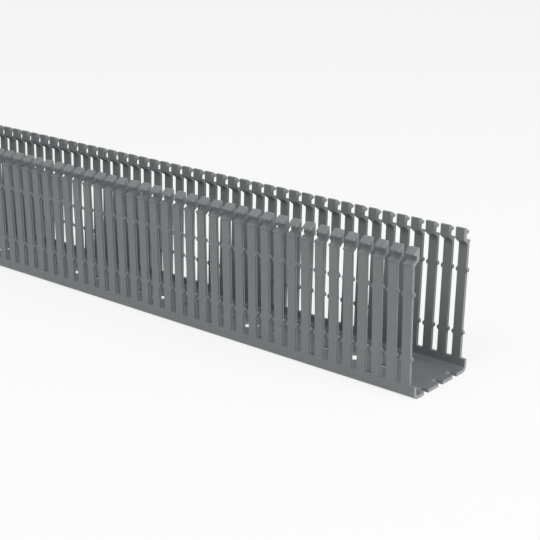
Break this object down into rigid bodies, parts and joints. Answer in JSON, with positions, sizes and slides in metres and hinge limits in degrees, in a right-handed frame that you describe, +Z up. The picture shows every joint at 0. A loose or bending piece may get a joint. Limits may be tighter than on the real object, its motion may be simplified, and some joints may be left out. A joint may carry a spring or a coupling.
{
  "type": "slotted wiring duct",
  "caption": "Grey U-shaped plastic wiring duct with slotted side walls, hooked finger tops for a clip-on cover and a punched floor.",
  "frame": {"origin": "centre of the underside, midway along the length", "axes": "+X along the duct, +Y across it, +Z up out of the open side"},
  "size_m": [1, 0.0742, 0.1085],
  "materials": {
    "grey_pvc": "satin"
  },
  "bodies": {
    "root": {"slotted_duct": "grey_pvc"}
  },
  "joints": []
}
